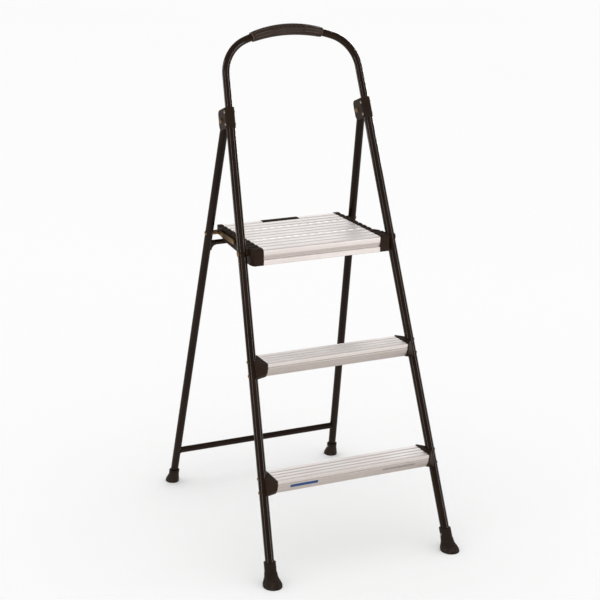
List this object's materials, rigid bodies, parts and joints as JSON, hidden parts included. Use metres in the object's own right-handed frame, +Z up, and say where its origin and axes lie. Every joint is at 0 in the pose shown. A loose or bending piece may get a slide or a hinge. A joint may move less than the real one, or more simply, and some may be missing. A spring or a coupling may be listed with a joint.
{
  "type": "folding step stool",
  "caption": "Folding step stool with treads, a top platform, a hoop handrail with a hand grip, and rear legs that swing in while the platform tips up.",
  "frame": {"origin": "on the floor, in the centre plane, midway between the toes of the front feet and the heels of the rear feet", "axes": "+Z up, the climbing side faces -Y, +X to the climber's right"},
  "size_m": [0.4912, 0.6976, 1.1802],
  "materials": {
    "frame_enamel": "gloss",
    "bracket_enamel": "satin",
    "grip_rubber": "satin",
    "foot_rubber": "satin",
    "black_plastic": "satin",
    "aluminium": "satin",
    "bright_steel": "polished",
    "dark_steel": "satin",
    "brass_plate": "polished"
  },
  "bodies": {
    "front_frame": {"front_rail_left": "frame_enamel", "front_rail_right": "frame_enamel", "handrail_hoop": "frame_enamel", "hand_grip": "grip_rubber", "hinge_bracket_left": "bracket_enamel", "hinge_bracket_right": "bracket_enamel", "bracket_rivets": "bright_steel", "hinge_pivots": "brass_plate", "middle_tread": "aluminium", "middle_tread_cap_left": "black_plastic", "middle_tread_cap_right": "black_plastic", "bottom_tread": "aluminium", "bottom_tread_cap_left": "black_plastic", "bottom_tread_cap_right": "black_plastic", "tread_rivets": "brass_plate", "front_foot_left": "foot_rubber", "front_foot_right": "foot_rubber", "front_foot_rivets": "bright_steel", "platform_pivots": "brass_plate", "platform_pivot_washers": "black_plastic"},
    "rear_frame": {"rear_leg_left": "frame_enamel", "rear_leg_right": "frame_enamel", "leg_top_plugs": "black_plastic", "hinge_bushes": "black_plastic", "upper_crossbar": "frame_enamel", "crossbar_gussets": "frame_enamel", "lower_crossbar": "frame_enamel", "rear_foot_left": "foot_rubber", "rear_foot_right": "foot_rubber", "rear_foot_rivets": "bright_steel", "link_pivots": "brass_plate", "link_spacers": "brass_plate"},
    "platform": {"platform_deck": "aluminium", "platform_cap_left": "black_plastic", "platform_cap_right": "black_plastic", "cap_screws": "dark_steel", "rest_pads": "black_plastic", "latch_bracket": "black_plastic", "latch_pin": "bright_steel", "latch_spring": "bright_steel"},
    "link_left": {"fold_link_left": "brass_plate", "link_pin_left": "brass_plate"},
    "link_right": {"fold_link_right": "brass_plate", "link_pin_right": "brass_plate"},
    "release_latch": {"release_handle": "black_plastic", "latch_hook": "bright_steel", "hook_rivets": "bright_steel"}
  },
  "joints": [
    {"name": "rear_fold", "type": "hinge", "parent": "front_frame", "child": "rear_frame", "pos_m": [0, 0.057, 0.976], "axis": [-1, 0, 0], "range_deg": [0, 34]},
    {"name": "platform_fold", "type": "hinge", "parent": "front_frame", "child": "platform", "pos_m": [0, -0.07127, 0.697], "axis": [1, 0, 0], "range_deg": [0, 70.27]},
    {"name": "link_left_swing", "type": "hinge", "parent": "rear_frame", "child": "link_left", "pos_m": [-0.164, 0.13367, 0.6974], "axis": [-1, 0, 0], "range_deg": [0, 56.28]},
    {"name": "link_right_swing", "type": "hinge", "parent": "rear_frame", "child": "link_right", "pos_m": [0.164, 0.13367, 0.6974], "axis": [-1, 0, 0], "range_deg": [0, 56.28]},
    {"name": "latch_lift", "type": "hinge", "parent": "platform", "child": "release_latch", "pos_m": [0, 0.1313, 0.6988], "axis": [1, 0, 0], "range_deg": [0, 11], "stiffness_Nm_per_rad": 0.25, "springref_deg": -20.05}
  ],
  "couplings": [
    {"joint": "platform_fold", "follows": "rear_fold", "ratio": 2.0668},
    {"joint": "link_left_swing", "follows": "rear_fold", "ratio": 1.6553},
    {"joint": "link_right_swing", "follows": "rear_fold", "ratio": 1.6553}
  ]
}
